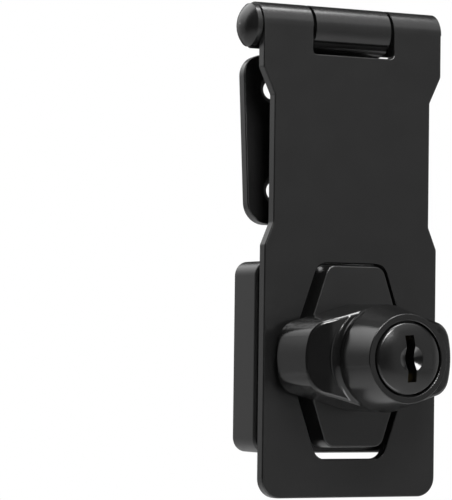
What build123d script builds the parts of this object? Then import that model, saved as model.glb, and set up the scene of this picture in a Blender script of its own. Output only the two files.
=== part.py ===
from build123d import *
import math
import os

os.makedirs("parts", exist_ok=True)

# Keyed hasp lock: a slotted steel hasp swings down over a cast base, and a winged
# knob turns across it. Millimetres, +Z up, the front faces -Y. The origin lies on
# the door plane, on the axis of the knob. "Front distance" is measured from the
# door plane towards the front, so Plane.XZ.offset(d) is a plane d in front of it.

# Sheet metal and hinge
sheet = 2.2
pin_d = 5.3
pin_clearance = 0.05
pin_height = 68.4
edge_round = 0.3
overrun = 0.1

# Hasp outline, heights measured from the knob axis
hasp_top_width = 42.4
hasp_waist_width = 37.1
hasp_foot_width = 41.0
hasp_bottom = -28.9
hasp_foot_top = 22.95
hasp_foot_rise = 4.65
hasp_waist_top = 53.9
hasp_head_rise = 5.6
hasp_corner_r = 4.0
shoulder_r = 1.0
hasp_curl = 250.0
notch_width = 19.3
notch_gap = 0.75
notch_corner_r = 1.0

# Window in the hasp and boss that stands in it
window_half = 14.9
window_end_half = 7.8
window_mid = -0.4
window_top = 19.55
window_bottom = -20.95
window_corner_r = 2.8
boss_gap_side = 2.1
boss_gap_end = 1.35
boss_gap_top = 0.6
boss_gap_bottom = 2.6
boss_proud = 1.7
boss_corner_r = 2.2
boss_draft = 4.0

# Hinge leaf, in its own plane and measured from the pin
leaf_width = 41.0
leaf_length = 35.6
leaf_top_drop = 4.8
leaf_set_back = 8.3
leaf_corner_r = 4.5
leaf_swing = 5.0
leaf_bend_r = 1.3
neck_slope = 5.0
neck_side_gap = 0.75
neck_relief = 1.0
eye_end = 30.0
eye_seam_angle = 42.0
eye_seam_width = 0.7
eye_seam_depth = 0.6
leaf_hole_d = 4.0
leaf_sink_d = 6.6
leaf_hole_inset = 7.1

# Pin heads
head_gap = 0.1
head_d = 9.0
head_side = 1.1
head_dome = 2.0
rivet_d = 8.6
rivet_height = 1.2

# Base casting
base_width = 41.0
base_height = 39.6
base_depth = 9.5
base_corner_r = 3.0
cavity_corner_r = 2.0
base_edge_r = 0.8
hasp_gap = 1.5
base_wall = 2.4
base_roof = 2.5
screw_boss_d = 8.6
screw_hole_d = 4.4
screw_sink_d = 8.2
screw_inset_x = 5.3
screw_inset_z = 5.0

# Knob
knob_gap = 0.3
wing_reach = 18.4
wing_depth = 9.9
wing_blank_extra = 0.4
wing_slope = 15.5
wing_draft = 1.7
wing_end_draft = 8.0
wing_end_r = 4.4
ridge_r = 0.8
turret_d = 22.2
turret_draft = 0.5
turret_shoulder = 12.4
crown_depth = 11.8
shoulder_r_soft = 8.0
ramp_start = 17.0
ramp_end = 13.6
ramp_slope = 17.8
foot_width = 1.5
foot_height = 1.6
foot_lip = 0.2
foot_curve_r = 1.5
foot_set_in = 0.3
ring_d = 18.0
ring_height = 21.2
ring_edge_r = 0.2
neck_d = 16.0
neck_clearance = 0.05
neck_end = 2.2

# Plug and keyway
key_tilt = 4.5
plug_d = 11.0
plug_clearance = 0.05
plug_face_d = 14.7
plug_face_gap = 0.3
plug_face_depth = 2.8
plug_seat_gap = 0.1
plug_dome = 1.5
plug_face_round = 0.8
plug_back = 12.2
keyway_width = 2.0
keyway_height = 9.4
keyway_end = 20.4
dimple_d = 5.4
dimple_depth = 1.6
dimple_edge = 0.15

# Wafers and their springs
wafer_count = 5
wafer_pitch = 2.2
wafer_first = 31.7
wafer_thickness = 1.0
wafer_width = 6.4
wafer_clearance = 0.1
wafer_travel = 0.9
wafer_end_gap = 0.1
wafer_window_width = 2.6
wafer_window_low = 3.3
wafer_steps = (3.5, 3.1, 3.4, 2.9, 3.2)
ear_reach = 1.1
ear_bottom = -1.6
ear_top = -0.6
ear_gap = 0.2
spring_length = 3.0
spring_d = 0.95
spring_wire = 0.2
spring_turns = 4
retainer_front = 16.5
retainer_reach = 0.65
retainer_top = 4.2

# Cam, screw and locking bolt
cam_d = 10.8
cam_thickness = 1.8
cam_gap = 0.1
cam_square = 3.0
cam_fit = 0.04
quarter_turn = 90
spiral_step = 6
bolt_rest = 3.15
bolt_travel = 1.3
peg_d = 1.2
peg_clearance = 0.06
bolt_width = 4.0
bolt_thickness = 2.3
bolt_clearance = 0.08
bolt_inner = 2.25
bolt_tip_gap = 0.15
pocket_gap = 0.35
pocket_width_gap = 0.2
screw_d = 2.0
screw_head_d = 3.8
screw_head_height = 1.1
screw_head_round = 0.3
screw_length = 5.0
screw_slot = 0.6
screw_access_d = 4.9

# Rear fixings of the knob
curved_washer_d = 21.4
curved_washer_t = 0.3
curved_washer_rise = 0.4
curved_washer_fit = 0.1
washer_stack_gap = 0.05
stop_washer_d = 22.0
stop_washer_t = 1.0
flat_across = 14.0
flat_clearance = 0.05
stop_tab_reach = 2.6
stop_tab_angle = 26.0
stop_post_angle = 14.0
stop_post_gap = 1.5
stop_post_height = 2.9
stop_post_width = 3.0
stop_post_past_tab = 1.0
stop_slack = 1.0
circlip_groove_d = 14.6
circlip_band = 2.05
circlip_t = 0.9
circlip_fit = 0.05
circlip_open = 70.0

# Worked out from the sizes above
hasp_back = base_depth + hasp_gap
hasp_front = hasp_back + sheet
boss_face = hasp_front + boss_proud
knuckle_in = pin_d / 2 + pin_clearance
knuckle_out = knuckle_in + sheet
knuckle_mid = knuckle_in + sheet / 2
pin_front = hasp_front - knuckle_out
hasp_waist_bottom = hasp_foot_top + hasp_foot_rise
hasp_head_bottom = hasp_waist_top + hasp_head_rise
notch_bottom = pin_height - knuckle_out - notch_gap
knob_back = boss_face + knob_gap
wing_front = knob_back + wing_depth
shoulder_front = knob_back + turret_shoulder
crown_front = knob_back + crown_depth
ring_front = knob_back + ring_height
head_seat = ring_front - plug_face_depth
plug_r = plug_d / 2
bore_r = plug_r + plug_clearance
cam_back = plug_back - cam_thickness - cam_gap
chamber_back = cam_back - cam_gap
bolt_front = chamber_back - bolt_clearance
bolt_back = bolt_front - bolt_thickness
channel_back = bolt_back - bolt_clearance
roof = base_depth - base_roof
bolt_tip = neck_d / 2 - bolt_tip_gap
wafer_r = plug_r - wafer_end_gap
wafer_rows = [wafer_first - number * wafer_pitch for number in range(wafer_count)]
wafer_last = wafer_rows[-1]
groove_reach = wafer_r + wafer_travel + wafer_clearance
stop_front = roof - curved_washer_t - curved_washer_rise - 3 * washer_stack_gap
clip_back = stop_front - stop_washer_t - washer_stack_gap - circlip_t - circlip_fit
clip_inner_r = circlip_groove_d / 2 + circlip_fit
clip_outer_r = clip_inner_r + circlip_band
spring_x = wafer_width / 2 + ear_reach / 2
key_turn = math.radians(key_tilt)
key_plane = Plane(origin=(0, 0, 0), x_dir=(math.cos(key_turn), 0, math.sin(key_turn)), z_dir=(0, -1, 0))


def pin_plane(tilt):
    """A plane across the pin: x points back and y up, both leaned by tilt."""
    lean = math.radians(tilt)
    back = (0, math.cos(lean), -math.sin(lean))
    return Plane(origin=(0, -pin_front, pin_height), x_dir=back, z_dir=(1, 0, 0))


def hexagon(half, end_half, middle, low, high):
    """Corners of a tall six-sided outline, pointed at the sides."""
    right = [(end_half, low), (half, middle), (end_half, high)]
    return right + [(-x, z) for x, z in reversed(right)]


def ball_radius(width, rise):
    """Radius of the ball whose cap is this wide and stands this high."""
    return ((width / 2) ** 2 + rise**2) / (2 * rise)


def dome_angle(width, rise):
    """Angle of such a cap, from its top to its rim."""
    return math.degrees(math.asin(width / 2 / ball_radius(width, rise)))


def on_circle(radius, degrees):
    """A point on a circle about the origin."""
    return (radius * math.cos(math.radians(degrees)), radius * math.sin(math.radians(degrees)))


# Hasp: one stamped plate, rolled into a knuckle at each side of its notch
outline_right = [
    (hasp_foot_width / 2, hasp_bottom),
    (hasp_foot_width / 2, hasp_foot_top),
    (hasp_waist_width / 2, hasp_waist_bottom),
    (hasp_waist_width / 2, hasp_waist_top),
    (hasp_top_width / 2, hasp_head_bottom),
    (hasp_top_width / 2, pin_height),
]
outline = outline_right + [(-x, z) for x, z in reversed(outline_right)]
window = hexagon(window_half, window_end_half, window_mid, window_bottom, window_top)
knuckle_length = (hasp_top_width - notch_width) / 2

with BuildPart() as hasp_leaf:
    with BuildSketch(Plane.XZ.offset(hasp_back)):
        with BuildLine():
            Polyline(*outline, close=True)
        make_face()
        fillet(vertices().group_by(Axis.Y)[0], hasp_corner_r)
        shoulders = vertices().filter_by_position(
            Axis.Y, hasp_foot_top - overrun, hasp_head_bottom + overrun
        )
        fillet(shoulders, shoulder_r)
        with Locations((0, (notch_bottom + pin_height) / 2)):
            Rectangle(notch_width, pin_height - notch_bottom, mode=Mode.SUBTRACT)
        notch_corners = vertices().filter_by_position(Axis.Y, notch_bottom - overrun, notch_bottom + overrun)
        fillet(notch_corners, notch_corner_r)
        with BuildSketch(mode=Mode.SUBTRACT):
            with BuildLine():
                Polyline(*window, close=True)
            make_face()
            fillet(vertices(), window_corner_r)
    extrude(amount=sheet)
    front_face = faces().sort_by(Axis.Y)[0]
    rim = front_face.edges().filter_by_position(Axis.Z, hasp_bottom - overrun, pin_height - overrun)
    fillet(rim, edge_round)
    for side in (-1, 1):
        start = side * hasp_top_width / 2 - (knuckle_length if side > 0 else 0)
        with BuildSketch(pin_plane(0).offset(start)):
            with BuildLine():
                CenterArc((0, 0), knuckle_mid, 180, -hasp_curl)
            trace(line_width=sheet)
        extrude(amount=knuckle_length)

# Hinge leaf: mounting plate, neck under the barrel and the middle eye
leaf_y = leaf_set_back - sheet / 2
leaf_bottom = -(leaf_top_drop + leaf_length)
neck_width = notch_width - 2 * neck_side_gap
slope = math.radians(neck_slope)
eye_start = (-knuckle_mid * math.sin(slope), -knuckle_mid * math.cos(slope))
bend_drop = (leaf_y - eye_start[0]) * math.tan(slope)
bend_corner = (leaf_y, eye_start[1] - bend_drop)
relief_bottom = bend_corner[1] - leaf_bend_r - sheet
side_frame = pin_plane(leaf_swing)
leaf_frame = Plane(
    origin=side_frame.origin + side_frame.x_dir * leaf_set_back,
    x_dir=(1, 0, 0),
    z_dir=-side_frame.x_dir,
)
hole_x = leaf_width / 2 - leaf_hole_inset
hole_pitch = leaf_length - 2 * leaf_hole_inset
leaf_middle = leaf_bottom + leaf_length / 2

with BuildPart() as hinge_leaf:
    with BuildSketch(leaf_frame):
        with Locations((0, leaf_middle)):
            RectangleRounded(leaf_width, leaf_length, leaf_corner_r)
        with Locations((0, (relief_bottom - leaf_top_drop) / 2)):
            Rectangle(neck_width + 2 * neck_relief, -leaf_top_drop - relief_bottom, mode=Mode.SUBTRACT)
    extrude(amount=sheet)
    leaf_front = faces().sort_by(Axis((0, 0, 0), tuple(leaf_frame.z_dir)))[-1]
    fillet(leaf_front.edges(), edge_round)
    with BuildSketch(side_frame.offset(-neck_width / 2)):
        with BuildLine() as strip:
            FilletPolyline(
                (leaf_y, relief_bottom - sheet), bend_corner, eye_start, radius=leaf_bend_r + sheet / 2
            )
            CenterArc((0, 0), knuckle_mid, 270 - neck_slope, -(270 - neck_slope + eye_end))
        trace(line_width=sheet)
        with BuildSketch(mode=Mode.SUBTRACT):
            with PolarLocations(knuckle_out, 1, start_angle=180 + eye_seam_angle):
                Rectangle(2 * eye_seam_depth, eye_seam_width)
    extrude(amount=neck_width)
    with Locations(leaf_frame.offset(sheet)):
        with Locations((0, leaf_middle)):
            with GridLocations(2 * hole_x, hole_pitch, 2, 2):
                CounterSinkHole(leaf_hole_d / 2, leaf_sink_d / 2, counter_sink_angle=90)

# Hinge pin: shaft with a domed head on the left and a rivetted end on the right
head_start = hasp_top_width / 2 + head_gap
rim_x = -head_start - head_side
head_ball_r = ball_radius(head_d, head_dome)
rivet_ball_r = ball_radius(rivet_d, rivet_height)
pin_axis = Axis((0, -pin_front, pin_height), (1, 0, 0))

with BuildPart() as hinge_pin:
    with BuildSketch(Plane.XY.move(Location((0, -pin_front, pin_height)))):
        with BuildLine():
            Line((rim_x - head_dome, 0), (head_start + rivet_height, 0))
            CenterArc(
                (head_start + rivet_height - rivet_ball_r, 0),
                rivet_ball_r,
                0,
                dome_angle(rivet_d, rivet_height),
            )
            Polyline(
                (head_start, rivet_d / 2),
                (head_start, pin_d / 2),
                (-head_start, pin_d / 2),
                (-head_start, head_d / 2),
                (rim_x, head_d / 2),
            )
            CenterArc((rim_x - head_dome + head_ball_r, 0), head_ball_r, 180, -dome_angle(head_d, head_dome))
        make_face()
    revolve(axis=pin_axis)

# Lock base: hollow casting with a six-sided boss, four screw posts and the knob bearing
boss_half = window_half - boss_gap_side
boss_end_half = window_end_half - boss_gap_end
boss_low = window_bottom + boss_gap_bottom
boss_high = window_top - boss_gap_top
boss = hexagon(boss_half, boss_end_half, (boss_low + boss_high) / 2, boss_low, boss_high)
screw_x = base_width / 2 - screw_inset_x
screw_z = base_height / 2 - screw_inset_z
pocket_reach = bolt_tip + bolt_travel + pocket_gap
pocket_width = bolt_width + 2 * pocket_width_gap
tab_r = stop_washer_d / 2 + stop_tab_reach
post_inner_r = stop_washer_d / 2 + stop_post_gap
post_outer_r = tab_r + stop_post_past_tab
post_swing = stop_tab_angle / 2 + stop_post_angle / 2 + stop_slack

with BuildPart() as lock_base:
    with BuildSketch(Plane.XZ):
        RectangleRounded(base_width, base_height, base_corner_r)
    extrude(amount=base_depth)
    fillet(faces().sort_by(Axis.Y)[0].edges(), base_edge_r)
    with BuildSketch(Plane.XZ):
        RectangleRounded(base_width - 2 * base_wall, base_height - 2 * base_wall, cavity_corner_r)
    extrude(amount=roof, mode=Mode.SUBTRACT)
    with BuildSketch(Plane.XZ):
        with GridLocations(2 * screw_x, 2 * screw_z, 2, 2):
            Circle(screw_boss_d / 2)
    extrude(amount=roof + overrun)
    with BuildSketch(Plane.XZ.offset(boss_face)):
        with BuildLine():
            Polyline(*boss, close=True)
        make_face()
        fillet(vertices(), boss_corner_r)
    extrude(amount=-(boss_face - roof), taper=-boss_draft)
    fillet(faces().sort_by(Axis.Y)[0].edges(), edge_round)
    with BuildSketch(Plane.XZ):
        Circle(neck_d / 2 + neck_clearance)
    extrude(amount=boss_face, mode=Mode.SUBTRACT)
    with BuildSketch(Plane.XZ.offset(roof)):
        for turn in (180, 270):
            with PolarLocations(pocket_reach / 2, 1, start_angle=turn):
                Rectangle(pocket_reach, pocket_width)
    extrude(amount=chamber_back + bolt_clearance - roof, mode=Mode.SUBTRACT)
    with BuildSketch(Plane.XZ.offset(roof - stop_post_height)):
        for turn in (90 + post_swing, -post_swing):
            with PolarLocations((post_inner_r + post_outer_r) / 2, 1, start_angle=turn):
                Rectangle(post_outer_r - post_inner_r, stop_post_width)
    extrude(amount=stop_post_height + overrun)
    with Locations(Plane.XZ.offset(base_depth)):
        with GridLocations(2 * screw_x, 2 * screw_z, 2, 2):
            CounterSinkHole(screw_hole_d / 2, screw_sink_d / 2, counter_sink_angle=90)


# Knob: wings tapered towards the front, a turret with a sloped nose and a bored neck
def wing_corners(inset, reach):
    """Upper right quarter of the wings: the end's corner and where the side meets the turret."""
    lean = math.radians(wing_slope)
    side = turret_d / 2 - inset
    run = math.sqrt(reach**2 - side**2)
    touch = (side * math.sin(lean), side * math.cos(lean))
    return (touch[0] + run * math.cos(lean), touch[1] - run * math.sin(lean)), touch


wing_rise = turret_shoulder + wing_blank_extra
nose_inset = wing_rise * math.tan(math.radians(wing_draft))
nose_reach = wing_reach - wing_rise * math.tan(math.radians(wing_end_draft))
blank_reach = wing_reach + overrun
shoulder_r_top = turret_d / 2 - turret_shoulder * math.tan(math.radians(turret_draft))
foot_end = shoulder_r_top + foot_width
foot_low = crown_front - foot_lip
foot_high = crown_front + foot_height
ramp = math.radians(ramp_slope)
ramp_low = wing_front - (blank_reach - ramp_start) * math.tan(ramp)
ramp_high = wing_front + (ramp_start - ramp_end) * math.tan(ramp)
crown_end = ramp_end - (crown_front - ramp_high) / math.tan(ramp / 2)

with BuildPart() as knob:
    for rise, inset, reach in ((0, 0, wing_reach), (wing_rise, nose_inset, nose_reach)):
        corner, touch = wing_corners(inset, reach)
        with BuildSketch(Plane.XZ.offset(knob_back + rise)):
            with BuildLine():
                ThreePointArc((corner[0], -corner[1]), (reach, 0), corner)
                Polyline(corner, touch, (-touch[0], touch[1]), (-corner[0], corner[1]))
                ThreePointArc((-corner[0], corner[1]), (-reach, 0), (-corner[0], -corner[1]))
                Polyline(
                    (-corner[0], -corner[1]),
                    (-touch[0], -touch[1]),
                    (touch[0], -touch[1]),
                    (corner[0], -corner[1]),
                )
            make_face()
            fillet(vertices().group_by(Axis.X)[0] + vertices().group_by(Axis.X)[-1], wing_end_r)
    loft(ruled=True)
    with BuildSketch(Plane.XY, mode=Mode.PRIVATE) as plan:
        with BuildLine():
            Polyline((0, -knob_back), (blank_reach, -knob_back), (blank_reach, -ramp_low))
            Line((blank_reach, -ramp_low), (ramp_end, -ramp_high))
            ramp_way = (-math.cos(ramp), -math.sin(ramp))
            TangentArc((ramp_end, -ramp_high), (crown_end, -crown_front), tangent=ramp_way)
            Polyline((crown_end, -crown_front), (0, -crown_front), (0, -knob_back))
        make_face()
        mirror(about=Plane.YZ)
    extrude(plan.sketch, amount=turret_d, both=True, mode=Mode.INTERSECT)
    front_edges = edges().filter_by_position(Axis.Y, -crown_front - overrun, -wing_front + overrun)
    fillet([edge for edge in front_edges if edge.geom_type != GeomType.LINE], ridge_r)
    foot_corner, foot_touch = wing_corners(nose_inset + foot_set_in, nose_reach)
    with BuildPart(mode=Mode.PRIVATE) as foot:
        with BuildSketch(Plane.XY):
            with BuildLine():
                Polyline((0, -foot_high), (0, -ramp_low), (foot_end, -ramp_low), (foot_end, -foot_low))
                RadiusArc((foot_end, -foot_low), (shoulder_r_top, -foot_high), -foot_curve_r)
                Line((shoulder_r_top, -foot_high), (0, -foot_high))
            make_face()
        revolve(axis=Axis.Y)
        with BuildSketch(Plane.XZ.offset(knob_back)):
            with BuildLine():
                Polyline(
                    (foot_corner[0], -foot_corner[1]),
                    foot_corner,
                    foot_touch,
                    (-foot_touch[0], foot_touch[1]),
                    (-foot_corner[0], foot_corner[1]),
                    (-foot_corner[0], -foot_corner[1]),
                    (-foot_touch[0], -foot_touch[1]),
                    (foot_touch[0], -foot_touch[1]),
                    close=True,
                )
            make_face()
        extrude(amount=ring_height, mode=Mode.INTERSECT)
    add(foot.part)
    with BuildSketch(Plane.XY):
        with BuildLine():
            Polyline(
                (0, -neck_end),
                (neck_d / 2, -neck_end),
                (neck_d / 2, -knob_back),
                (turret_d / 2, -knob_back),
                (shoulder_r_top, -shoulder_front),
                (ring_d / 2, -ring_front),
                (0, -ring_front),
                close=True,
            )
        make_face()
        fillet(vertices().sort_by_distance((shoulder_r_top, -shoulder_front))[0], shoulder_r_soft)
    revolve(axis=Axis.Y)
    with BuildSketch(Plane.XZ.offset(ring_front)):
        Circle(plug_face_d / 2 + plug_face_gap)
    extrude(amount=-plug_face_depth, mode=Mode.SUBTRACT)
    with BuildSketch(Plane.XZ.offset(chamber_back)):
        Circle(bore_r)
    extrude(amount=head_seat - chamber_back, mode=Mode.SUBTRACT)
    with BuildSketch(key_plane.offset(wafer_last - wafer_thickness)):
        for turn in (270, 180):
            with PolarLocations(groove_reach / 2, 1, start_angle=turn):
                Rectangle(groove_reach, wafer_width + 2 * wafer_clearance)
    extrude(amount=head_seat - wafer_last + wafer_thickness, mode=Mode.SUBTRACT)
    with BuildSketch(Plane.XZ.offset(retainer_front - wafer_thickness - wafer_clearance)):
        Circle(plug_r + retainer_reach + wafer_clearance)
    extrude(amount=wafer_thickness + 2 * wafer_clearance, mode=Mode.SUBTRACT)
    with BuildSketch(Plane.XZ.offset(neck_end)):
        Circle(screw_access_d / 2)
    extrude(amount=chamber_back - neck_end, mode=Mode.SUBTRACT)
    with BuildSketch(Plane.XZ.offset(channel_back)):
        with Locations((0, -neck_d / 2)):
            Rectangle(bolt_width + 2 * bolt_clearance, neck_d - 2 * bolt_inner + 2 * bolt_clearance)
    extrude(amount=chamber_back - channel_back, mode=Mode.SUBTRACT)
    with BuildSketch(Plane.XZ.offset(neck_end)):
        Circle(neck_d)
        Rectangle(flat_across, 2 * neck_d, mode=Mode.SUBTRACT)
    extrude(amount=stop_front - neck_end, mode=Mode.SUBTRACT)
    with BuildSketch(Plane.XZ.offset(clip_back)):
        Circle(neck_d)
        Circle(circlip_groove_d / 2, mode=Mode.SUBTRACT)
    extrude(amount=circlip_t + 2 * circlip_fit, mode=Mode.SUBTRACT)
    fillet(edges().filter_by_position(Axis.Y, -ring_front - overrun, -ring_front + overrun), ring_edge_r)

# Plug: domed face, keyway, wafer slots with spring pockets and a square tail
slot_thickness = wafer_thickness + 2 * wafer_clearance
pocket_top = ear_top + spring_length
dome_r = ball_radius(plug_face_d, plug_dome)
tail_end = cam_back + cam_fit

with BuildPart() as key_plug:
    with BuildSketch(Plane.XY):
        with BuildLine():
            Line((0, -ring_front - plug_dome), (0, -plug_back))
            Polyline(
                (0, -plug_back),
                (plug_r, -plug_back),
                (plug_r, -head_seat - plug_seat_gap),
                (plug_face_d / 2, -head_seat - plug_seat_gap),
                (plug_face_d / 2, -ring_front),
            )
            CenterArc((0, dome_r - ring_front - plug_dome), dome_r, 270, dome_angle(plug_face_d, plug_dome))
        make_face()
        fillet(vertices().sort_by_distance((plug_face_d / 2, -ring_front))[0], plug_face_round)
    revolve(axis=Axis.Y)
    with BuildSketch(key_plane.offset(keyway_end)):
        Rectangle(keyway_width, keyway_height)
    extrude(amount=ring_front + plug_dome - keyway_end, mode=Mode.SUBTRACT)
    with BuildSketch(Plane.XY):
        with BuildLine():
            Polyline(
                (0, -ring_front - plug_dome + dimple_depth),
                (dimple_d / 2, -ring_front - plug_dome + dimple_edge),
                (dimple_d / 2, -ring_front - 2 * plug_dome),
                (0, -ring_front - 2 * plug_dome),
                close=True,
            )
        make_face()
    revolve(axis=Axis.Y, mode=Mode.SUBTRACT)
    for row in wafer_rows:
        with BuildSketch(key_plane.offset(row - slot_thickness / 2)):
            Rectangle(wafer_width + 2 * wafer_clearance, 2 * plug_d)
            with Locations((wafer_width / 2, pocket_top)):
                Rectangle(
                    2 * (ear_reach + ear_gap),
                    pocket_top - ear_bottom + wafer_travel + ear_gap,
                    align=(Align.CENTER, Align.MAX),
                )
        extrude(amount=slot_thickness, mode=Mode.SUBTRACT)
    with BuildSketch(key_plane.offset(retainer_front - wafer_thickness - wafer_clearance)):
        with Locations((0, -plug_r)):
            Rectangle(wafer_width + 2 * wafer_clearance, 2 * plug_r + 2 * retainer_top + 2 * wafer_clearance)
    extrude(amount=slot_thickness, mode=Mode.SUBTRACT)
    with BuildSketch(key_plane.offset(tail_end)):
        Rectangle(cam_square, cam_square)
    extrude(amount=plug_back - tail_end + overrun)
    with BuildSketch(key_plane.offset(tail_end)):
        Circle(screw_d / 2)
    extrude(amount=screw_length, mode=Mode.SUBTRACT)

# Wafers: thin plates with a window for the key and an ear for the spring
wafers = []
for number, row in enumerate(wafer_rows):
    with BuildPart() as wafer:
        with BuildSketch(key_plane.offset(row - wafer_thickness / 2)):
            Circle(wafer_r)
            Rectangle(wafer_width, 2 * plug_d, mode=Mode.INTERSECT)
            with Locations((wafer_width / 2, ear_bottom)):
                Rectangle(2 * ear_reach, ear_top - ear_bottom, align=(Align.CENTER, Align.MIN))
            with Locations((0, -wafer_window_low)):
                Rectangle(
                    wafer_window_width,
                    wafer_window_low + wafer_steps[number],
                    align=(Align.CENTER, Align.MIN),
                    mode=Mode.SUBTRACT,
                )
        extrude(amount=wafer_thickness)
    wafer.part.label = f"wafer_{number + 1}"
    wafers.append(wafer.part)

# Wafer springs: small coils, each in the pocket beside its wafer
key_up = key_plane.y_dir
coil_r = (spring_d - spring_wire) / 2
coil_pitch = (spring_length - spring_wire) / spring_turns
springs = []
for number, row in enumerate(wafer_rows):
    foot = key_plane.offset(row).from_local_coords((spring_x, ear_top + spring_wire / 2, 0))
    with BuildPart() as spring:
        with BuildLine() as coil:
            Helix(coil_pitch, spring_length - spring_wire, coil_r, center=foot, direction=key_up)
        with BuildSketch(Plane(origin=coil.line @ 0, z_dir=coil.line % 0)):
            RegularPolygon(spring_wire / 2, 6)
        sweep(is_frenet=True)
    spring.part.label = f"wafer_spring_{number + 1}"
    springs.append(spring.part)

# Retaining wafer: stands out into a ring groove of the knob and holds the plug in
with BuildPart() as retaining_wafer:
    with BuildSketch(key_plane.offset(retainer_front - wafer_thickness)):
        Circle(plug_r + retainer_reach)
        with Locations((0, retainer_top)):
            Rectangle(wafer_width, 2 * plug_d, align=(Align.CENTER, Align.MAX), mode=Mode.INTERSECT)
    extrude(amount=wafer_thickness)

# Plug cam: disc with a spiral slot, keyed to the square tail
spiral_turns = range(-spiral_step, quarter_turn + spiral_step + 1, spiral_step)
spiral = [on_circle(bolt_rest + bolt_travel * turn / quarter_turn, turn - 90) for turn in spiral_turns]
slot_width = peg_d + 2 * peg_clearance

with BuildPart() as plug_cam:
    with BuildSketch(Plane.XZ.offset(cam_back)):
        Circle(cam_d / 2)
        with BuildSketch(mode=Mode.SUBTRACT):
            with BuildLine():
                Spline(*spiral)
            trace(line_width=slot_width)
            with Locations(spiral[0], spiral[-1]):
                Circle(slot_width / 2)
    extrude(amount=cam_thickness)
    with BuildSketch(key_plane.offset(cam_back)):
        Rectangle(cam_square + 2 * cam_fit, cam_square + 2 * cam_fit)
    extrude(amount=cam_thickness, mode=Mode.SUBTRACT)

# Cam screw: slotted pan head, its shank in the tail of the plug
with BuildPart() as cam_screw:
    with BuildSketch(Plane.XZ.offset(cam_back)):
        Circle(screw_head_d / 2)
    extrude(amount=-screw_head_height)
    fillet(faces().sort_by(Axis.Y)[-1].edges(), screw_head_round)
    with BuildSketch(Plane.XZ.offset(cam_back - screw_head_height)):
        Rectangle(screw_head_d, screw_slot)
    extrude(amount=screw_slot, mode=Mode.SUBTRACT)
    with BuildSketch(Plane.XZ.offset(cam_back)):
        Circle(screw_d / 2 - cam_fit)
    extrude(amount=screw_length - cam_gap)

# Locking bolt: slides out of the neck into a pocket of the base, led by its peg
with BuildPart() as locking_bolt:
    with BuildSketch(Plane.XZ.offset(bolt_back)):
        Circle(bolt_tip)
        with Locations((0, -bolt_inner)):
            Rectangle(bolt_width, neck_d, align=(Align.CENTER, Align.MAX), mode=Mode.INTERSECT)
    extrude(amount=bolt_thickness)
    with BuildSketch(Plane.XZ.offset(bolt_front)):
        with Locations((0, -bolt_rest)):
            Circle(peg_d / 2)
    extrude(amount=cam_back + cam_thickness - bolt_front - cam_gap)

# Curved washer: bowed ring that takes up the play behind the base's roof
bow_r = (curved_washer_d / 2) ** 2 / (2 * curved_washer_rise)

with BuildPart() as curved_washer:
    with BuildSketch(Plane.XZ):
        Circle(curved_washer_d / 2)
        Circle(neck_d / 2 + curved_washer_fit, mode=Mode.SUBTRACT)
    extrude(amount=roof)
    with BuildSketch(Plane.YZ.offset(-curved_washer_d)):
        with Locations((bow_r - stop_front - 2 * washer_stack_gap - curved_washer_t, 0)):
            Circle(bow_r + curved_washer_t)
            Circle(bow_r, mode=Mode.SUBTRACT)
    extrude(amount=2 * curved_washer_d, mode=Mode.INTERSECT)

# Stop washer: keyed to the flats of the neck, its tab meets a post at each end
with BuildPart() as stop_washer:
    with BuildSketch(Plane.XZ.offset(stop_front - stop_washer_t)):
        Circle(stop_washer_d / 2)
        with BuildSketch(mode=Mode.PRIVATE) as tab:
            Circle(tab_r)
            with BuildLine():
                Polyline(
                    (0, 0),
                    on_circle(2 * tab_r, 90 + stop_tab_angle / 2),
                    on_circle(2 * tab_r, 90 - stop_tab_angle / 2),
                    close=True,
                )
            make_face(mode=Mode.INTERSECT)
        add(tab.sketch)
        with BuildSketch(mode=Mode.SUBTRACT):
            Circle(neck_d / 2 + flat_clearance)
            Rectangle(flat_across + 2 * flat_clearance, 2 * neck_d, mode=Mode.INTERSECT)
    extrude(amount=stop_washer_t)

# Circlip: open ring in the groove of the neck
with BuildPart() as circlip:
    with BuildSketch(Plane.XZ.offset(clip_back + circlip_fit)):
        Circle(clip_outer_r)
        Circle(clip_inner_r, mode=Mode.SUBTRACT)
        with BuildLine():
            Polyline(
                (0, 0),
                on_circle(2 * clip_outer_r, -90 - circlip_open / 2),
                on_circle(2 * clip_outer_r, -90 + circlip_open / 2),
                close=True,
            )
        make_face(mode=Mode.SUBTRACT)
    extrude(amount=circlip_t)

# One file for each piece
pieces = {
    "hasp_leaf": hasp_leaf.part,
    "hinge_leaf": hinge_leaf.part,
    "hinge_pin": hinge_pin.part,
    "lock_base": lock_base.part,
    "knob": knob.part,
    "key_plug": key_plug.part,
    "retaining_wafer": retaining_wafer.part,
    "plug_cam": plug_cam.part,
    "cam_screw": cam_screw.part,
    "locking_bolt": locking_bolt.part,
    "curved_washer": curved_washer.part,
    "stop_washer": stop_washer.part,
    "circlip": circlip.part,
}
for number, part in enumerate(wafers):
    pieces[f"wafer_{number + 1}"] = part
for number, part in enumerate(springs):
    pieces[f"wafer_spring_{number + 1}"] = part
for name, part in pieces.items():
    part.label = name
    export_step(part, f"parts/{name}.step")
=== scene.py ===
import math

import bpy
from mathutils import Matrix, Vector

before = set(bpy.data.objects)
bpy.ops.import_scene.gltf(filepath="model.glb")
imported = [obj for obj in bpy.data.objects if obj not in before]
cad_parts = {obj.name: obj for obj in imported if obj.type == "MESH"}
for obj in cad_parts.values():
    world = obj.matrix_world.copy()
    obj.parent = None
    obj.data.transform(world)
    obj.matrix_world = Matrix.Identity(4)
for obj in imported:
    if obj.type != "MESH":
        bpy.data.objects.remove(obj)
bpy.context.view_layer.update()

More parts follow.
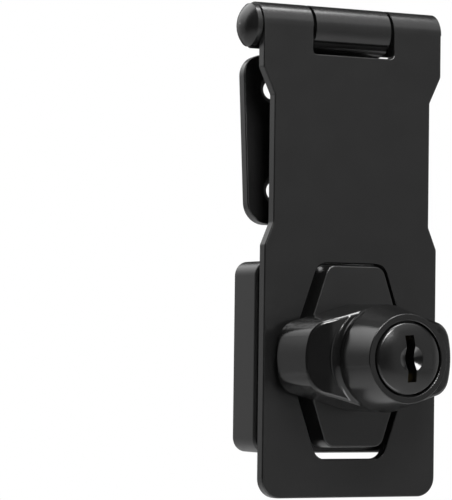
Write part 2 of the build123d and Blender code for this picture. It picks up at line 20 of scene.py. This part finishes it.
# Camera
# The lock is seen from a little to its left and just below its middle, from about
# 0.6 m away through a long lens, so its upright edges stay nearly parallel.
CAMERA_PLACE = (-0.281322, -0.504631, 0.000819)
CAMERA_TURN_DEG = (92.152, -0.737, -27.167)
FILM_WIDTH_MM = 36.0
LENS_MM = 196.13
NEAREST_SEEN = 0.05
bpy.ops.object.camera_add(
    location=CAMERA_PLACE,
    rotation=tuple(math.radians(turn) for turn in CAMERA_TURN_DEG),
)
camera = bpy.context.object
camera.name = "photo_camera"
camera.data.sensor_width = FILM_WIDTH_MM
camera.data.lens = LENS_MM
camera.data.clip_start = NEAREST_SEEN
bpy.context.scene.camera = camera
bpy.context.scene.view_settings.view_transform = "Standard"

# Floor
# A round sheet of matt grey paper lies 17 cm below the lock and takes its shadow. To the
# camera alone it turns white from its middle outwards, so that no edge shows behind.
FLOOR_Z = -0.2
FLOOR_R = 0.9
FLOOR_SIDES = 96
PAPER_GREY = (0.56, 0.56, 0.56, 1)
PAPER_ROUGHNESS = 0.9
# Where the white is full and where it begins, from 0 at the edge to 1 in the middle.
ALL_WHITE = 0.52
ALL_PAPER = 0.88


def ramp(tree, low, high, to_low=0.0, to_high=1.0):
    """A node that turns low..high into to_low..to_high, and goes no further."""
    node = tree.nodes.new("ShaderNodeMapRange")
    node.inputs["From Min"].default_value = low
    node.inputs["From Max"].default_value = high
    node.inputs["To Min"].default_value = to_low
    node.inputs["To Max"].default_value = to_high
    return node


def reckon(tree, operation):
    """A node that does one piece of arithmetic."""
    node = tree.nodes.new("ShaderNodeMath")
    node.operation = operation
    return node


def wire(tree, *runs):
    """Joins nodes. A run is a node, its outlet, the next node and its inlet."""
    for start, outlet, end, inlet in runs:
        tree.links.new(start.outputs[outlet], end.inputs[inlet])


bpy.ops.mesh.primitive_circle_add(
    radius=FLOOR_R, vertices=FLOOR_SIDES, fill_type="NGON", location=(0, 0, FLOOR_Z)
)
floor = bpy.context.object
floor.name = "floor"
bpy.ops.object.transform_apply()
paper = bpy.data.materials.new("pale_paper")
paper.use_nodes = True
tree = paper.node_tree
paper_shader = tree.nodes["Principled BSDF"]
paper_shader.inputs["Base Color"].default_value = PAPER_GREY
paper_shader.inputs["Roughness"].default_value = PAPER_ROUGHNESS
paper_place = tree.nodes.new("ShaderNodeTexCoord")
paper_centre = tree.nodes.new("ShaderNodeMapping")
paper_centre.inputs["Location"].default_value = (0, 0, -FLOOR_Z / FLOOR_R)
paper_centre.inputs["Scale"].default_value = (1 / FLOOR_R, 1 / FLOOR_R, 1 / FLOOR_R)
fade = tree.nodes.new("ShaderNodeTexGradient")
fade.gradient_type = "SPHERICAL"
edge_fade = ramp(tree, ALL_WHITE, ALL_PAPER, 1.0, 0.0)
white = tree.nodes.new("ShaderNodeEmission")
seen = tree.nodes.new("ShaderNodeLightPath")
only_seen = reckon(tree, "MULTIPLY")
paper_mix = tree.nodes.new("ShaderNodeMixShader")
wire(
    tree,
    (paper_place, "Object", paper_centre, "Vector"),
    (paper_centre, "Vector", fade, "Vector"),
    (fade, "Fac", edge_fade, "Value"),
    (edge_fade, "Result", only_seen, 0),
    (seen, "Is Camera Ray", only_seen, 1),
    (only_seen, "Value", paper_mix, "Fac"),
    (paper_shader, "BSDF", paper_mix, 1),
    (white, "Emission", paper_mix, 2),
    (paper_mix, "Shader", tree.nodes["Material Output"], "Surface"),
)
floor.data.materials.append(paper)

# Room
# White all round to the camera. To everything else it is nearly dark, so that the black
# paint mirrors only the lamps and the paper.
ROOM_GLOW = 0.05
ROOM_WHITE = 1.0
room = bpy.data.worlds.new("room")
bpy.context.scene.world = room
room.use_nodes = True
tree = room.node_tree
dim = tree.nodes["Background"]
bright = tree.nodes.new("ShaderNodeBackground")
for light, strength in ((dim, ROOM_GLOW), (bright, ROOM_WHITE)):
    light.inputs["Color"].default_value = (1, 1, 1, 1)
    light.inputs["Strength"].default_value = strength
ray = tree.nodes.new("ShaderNodeLightPath")
room_mix = tree.nodes.new("ShaderNodeMixShader")
wire(
    tree,
    (ray, "Is Camera Ray", room_mix, "Fac"),
    (dim, "Background", room_mix, 1),
    (bright, "Background", room_mix, 2),
    (room_mix, "Shader", tree.nodes["World Output"], "Surface"),
)

# Lamps
# Soft boxes and screens as in a product studio. The paint is so black that its shape
# shows mostly where it mirrors one of them. Each has its place, width and height, and
# radiance, and all but one look at the middle of the lock.
LOCK_MIDDLE = (0, 0, 0.02)
ABOVE_LOCK = (0, 0, 0.16)


def soft_box(name, place, size, radiance, aim=LOCK_MIDDLE):
    """An oblong area lamp at place, turned towards aim."""
    bpy.ops.object.light_add(type="AREA", location=place)
    lamp = bpy.context.object
    lamp.name = name
    lamp.data.shape = "RECTANGLE"
    lamp.data.size, lamp.data.size_y = size
    lamp.data.energy = radiance * math.pi * size[0] * size[1]
    direction = Vector(aim) - Vector(place)
    lamp.rotation_euler = direction.to_track_quat("-Z", "Y").to_euler()
    return lamp.data


# Overhead: the top of the barrel, the ridges and the edges that look up.
soft_box("zenith_box", (0.08, -0.06, 0.7), (0.42, 0.34), 13)
# Above on the right: a wide, weak fill.
soft_box("ceiling", (0.25, -0.4, 0.8), (1.0, 0.9), 1.3)
# Above in front: the bright crescents on the plug, the ring and the turret.
soft_box("key_box", (-0.07, -0.45, 0.33), (0.2, 0.16), 32)
# Low in front: the underside of the knob's nose.
soft_box("low_front_box", (-0.04, -0.19, -0.18), (0.22, 0.05), 4)
# Right: the even grey of every face that looks forward, and the right side of the nose.
soft_box("right_screen", (0.41, -0.63, 0.16), (0.84, 0.66), 0.39, aim=ABOVE_LOCK)
soft_box("right_side_box", (0.6, -0.1, 0.02), (0.3, 0.4), 0.9)
# Behind on the left: the left sides. It is weak low down and strong towards its top.
SCREEN_WEAK, SCREEN_STRONG = 0.42, 3.0
GROWS_FROM, GROWS_TO = 0.36, 0.78  # shares of the screen's height
screen = soft_box("back_left_screen", (-0.3, 0.46, 0.2), (0.7, 1.3), 1.0)
screen.use_nodes = True
tree = screen.node_tree
across = tree.nodes.new("ShaderNodeNewGeometry")
upwards = tree.nodes.new("ShaderNodeSeparateXYZ")
growth = ramp(tree, GROWS_FROM, GROWS_TO, SCREEN_WEAK, SCREEN_STRONG)
growth.interpolation_type = "SMOOTHSTEP"
wire(
    tree,
    (across, "Parametric", upwards, "Vector"),
    (upwards, "Y", growth, "Value"),
    (growth, "Result", tree.nodes["Emission"], "Strength"),
)

# Hasp, leaf and pin
# The hasp and the leaf are stamped from steel sheet and their knuckles rolled round the
# pin, whose end is rivetted over. All three have a thin satin black powder coat, even,
# with a very fine orange peel.
MOTTLE_PER_METRE = 160.0
MOTTLE_DETAIL = 3.0
PEEL_DETAIL = 4.0
NOISE_LOW, NOISE_HIGH = 0.3, 0.7  # most of the noise lies between these
COLOUR_CHANGE = 0.1  # the share by which the mottle lightens and darkens


def coat_group():
    """Node group: the faint mottle and the orange peel of a sprayed coat."""
    group = bpy.data.node_groups.new("sprayed_coat", "ShaderNodeTree")
    for in_out, name, kind in (
        ("INPUT", "Colour", "NodeSocketColor"),
        ("INPUT", "Colour change", "NodeSocketFloat"),
        ("INPUT", "Roughness", "NodeSocketFloat"),
        ("INPUT", "Roughness change", "NodeSocketFloat"),
        ("INPUT", "Grain per metre", "NodeSocketFloat"),
        ("OUTPUT", "Colour", "NodeSocketColor"),
        ("OUTPUT", "Roughness", "NodeSocketFloat"),
        ("OUTPUT", "Height", "NodeSocketFloat"),
    ):
        group.interface.new_socket(name, in_out=in_out, socket_type=kind)
    inlet = group.nodes.new("NodeGroupInput")
    outlet = group.nodes.new("NodeGroupOutput")
    place = group.nodes.new("ShaderNodeTexCoord")
    peel = group.nodes.new("ShaderNodeTexNoise")
    peel.inputs["Detail"].default_value = PEEL_DETAIL
    mottle = group.nodes.new("ShaderNodeTexNoise")
    mottle.inputs["Scale"].default_value = MOTTLE_PER_METRE
    mottle.inputs["Detail"].default_value = MOTTLE_DETAIL
    swing = ramp(group, NOISE_LOW, NOISE_HIGH, -1.0, 1.0)
    tint = reckon(group, "MULTIPLY_ADD")
    tint.inputs[2].default_value = 1.0
    shade = group.nodes.new("ShaderNodeVectorMath")
    shade.operation = "SCALE"
    rough = reckon(group, "MULTIPLY_ADD")
    wire(
        group,
        (place, "Object", mottle, "Vector"),
        (mottle, "Fac", swing, "Value"),
        (swing, "Result", tint, 0),
        (inlet, "Colour change", tint, 1),
        (inlet, "Colour", shade, 0),
        (tint, "Value", shade, "Scale"),
        (shade, "Vector", outlet, "Colour"),
        (swing, "Result", rough, 0),
        (inlet, "Roughness change", rough, 1),
        (inlet, "Roughness", rough, 2),
        (rough, "Value", outlet, "Roughness"),
        (place, "Object", peel, "Vector"),
        (inlet, "Grain per metre", peel, "Scale"),
        (peel, "Fac", outlet, "Height"),
    )
    return group


coat = coat_group()


def coated(name, colour, roughness, grain, height, roughness_change=0.04, metallic=0.0):
    """A material with that coat: its grain per metre, and the grain's height in metres."""
    material = bpy.data.materials.new(name)
    material.use_nodes = True
    tree = material.node_tree
    shader = tree.nodes["Principled BSDF"]
    shader.inputs["Metallic"].default_value = metallic
    spray = tree.nodes.new("ShaderNodeGroup")
    spray.node_tree = coat
    spray.inputs["Colour"].default_value = (*colour, 1)
    spray.inputs["Colour change"].default_value = COLOUR_CHANGE
    spray.inputs["Roughness"].default_value = roughness
    spray.inputs["Roughness change"].default_value = roughness_change
    spray.inputs["Grain per metre"].default_value = grain
    relief = tree.nodes.new("ShaderNodeBump")
    relief.inputs["Distance"].default_value = height
    wire(
        tree,
        (spray, "Colour", shader, "Base Color"),
        (spray, "Roughness", shader, "Roughness"),
        (spray, "Height", relief, "Height"),
        (relief, "Normal", shader, "Normal"),
    )
    return material


def paint(material, *names):
    """Puts the material in every slot of these CAD nodes."""
    for name in names:
        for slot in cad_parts[name].material_slots:
            slot.material = material


plate_black = coated(
    "plate_black",
    colour=(0.005, 0.005, 0.005),
    roughness=0.26,
    grain=1500,
    height=0.000003,
    roughness_change=0.012,
)
paint(plate_black, "hasp_leaf", "hinge_leaf", "hinge_pin")

# Lock base
# A hollow zinc casting. Countersunk screws go through its four posts from the front, where
# the closed hasp covers them. It has the same black coat as the plates, a little rougher
# and greyer over the cast metal.
base_black = coated(
    "base_black",
    colour=(0.006, 0.006, 0.006),
    roughness=0.3,
    grain=1200,
    height=0.000003,
    roughness_change=0.015,
)
paint(base_black, "lock_base")

# Knob
# One zinc casting, wings, turret and nose, in half-gloss black. The cast grain shows
# through the paint on the upper and lower sides of the wings, away from the turret.
knob_black = coated(
    "knob_black",
    colour=(0.004, 0.004, 0.004),
    roughness=0.14,
    grain=1800,
    height=0.000003,
    roughness_change=0.02,
)
SIDE_STARTS, SIDE_FULL = 0.6, 0.9  # how far a face looks up or down
WING_STARTS, WING_FULL = 0.009, 0.015  # distance from the knob's axis
CAST_PER_METRE = 1700.0
CAST_DETAIL = 2.0
PIT_FLOOR, PIT_TOP = 0.5, 0.65  # the noise between these makes the grain
CAST_HEIGHT = 0.00024
tree = knob_black.node_tree
place = tree.nodes.new("ShaderNodeTexCoord")
facing = tree.nodes.new("ShaderNodeSeparateXYZ")
upright = reckon(tree, "ABSOLUTE")
on_sides = ramp(tree, SIDE_STARTS, SIDE_FULL)
knob_place = tree.nodes.new("ShaderNodeSeparateXYZ")
outwards = reckon(tree, "ABSOLUTE")
on_wings = ramp(tree, WING_STARTS, WING_FULL)
wing_sides = reckon(tree, "MULTIPLY")
pits = tree.nodes.new("ShaderNodeTexNoise")
pits.inputs["Scale"].default_value = CAST_PER_METRE
pits.inputs["Detail"].default_value = CAST_DETAIL
raised = ramp(tree, PIT_FLOOR, PIT_TOP)
cast_height = reckon(tree, "MULTIPLY")
cast_relief = tree.nodes.new("ShaderNodeBump")
cast_relief.inputs["Distance"].default_value = CAST_HEIGHT
wire(
    tree,
    (place, "Normal", facing, "Vector"),
    (facing, "Z", upright, 0),
    (upright, "Value", on_sides, "Value"),
    (place, "Object", knob_place, "Vector"),
    (knob_place, "X", outwards, 0),
    (outwards, "Value", on_wings, "Value"),
    (on_sides, "Result", wing_sides, 0),
    (on_wings, "Result", wing_sides, 1),
    (place, "Object", pits, "Vector"),
    (pits, "Fac", raised, "Value"),
    (raised, "Result", cast_height, 0),
    (wing_sides, "Value", cast_height, 1),
    (cast_height, "Value", cast_relief, "Height"),
    (tree.nodes["Bump"], "Normal", cast_relief, "Normal"),
    (cast_relief, "Normal", tree.nodes["Principled BSDF"], "Normal"),
)
paint(knob_black, "knob")

# Key plug
# Turned, slotted for the key and the wafers, and blackened. It sits in the knob's bore
# behind the nose ring, held by the retaining wafer, and its domed face is smooth.
plug_black = coated(
    "plug_black", colour=(0.004, 0.004, 0.004), roughness=0.2, grain=2500, height=0.000003
)
paint(plug_black, "key_plug")

# Wafers
# Stamped from brass sheet and left bare. Five slide in the plug's slots, each on its own
# spring, and the retaining wafer behind them keeps the plug in the knob.
WAFERS = range(1, 6)
brass = coated(
    "brass", colour=(0.72, 0.55, 0.25), roughness=0.3, grain=900, height=0.00001, metallic=1.0
)
paint(brass, "retaining_wafer", *[f"wafer_{n}" for n in WAFERS])

# Cam
# A dull zinc casting with a spiral slot, screwed to the square tail of the plug. Its
# slot drives the locking bolt.
zinc = coated(
    "zinc", colour=(0.5, 0.5, 0.52), roughness=0.5, grain=1200, height=0.00002, metallic=1.0
)
paint(zinc, "plug_cam")

# Screw, bolt and stop washer
# Steel with bright zinc plating. The screw holds the cam, the bolt slides across the
# knob's neck, and the washer is keyed to the neck, so that its tab stops the turn.
plated = coated(
    "plated_steel", colour=(0.62, 0.62, 0.64), roughness=0.3, grain=900, height=0.00001, metallic=1.0
)
paint(plated, "cam_screw", "locking_bolt", "stop_washer")

# Springs, curved washer and circlip
# Bare spring steel. The bowed washer and the circlip in the neck's groove hold the knob
# in the base, and a coil spring pushes each wafer.
spring_steel = coated(
    "spring_steel", colour=(0.45, 0.45, 0.47), roughness=0.35, grain=900, height=0.00001, metallic=1.0
)
paint(spring_steel, "curved_washer", "circlip", *[f"wafer_spring_{n}" for n in WAFERS])
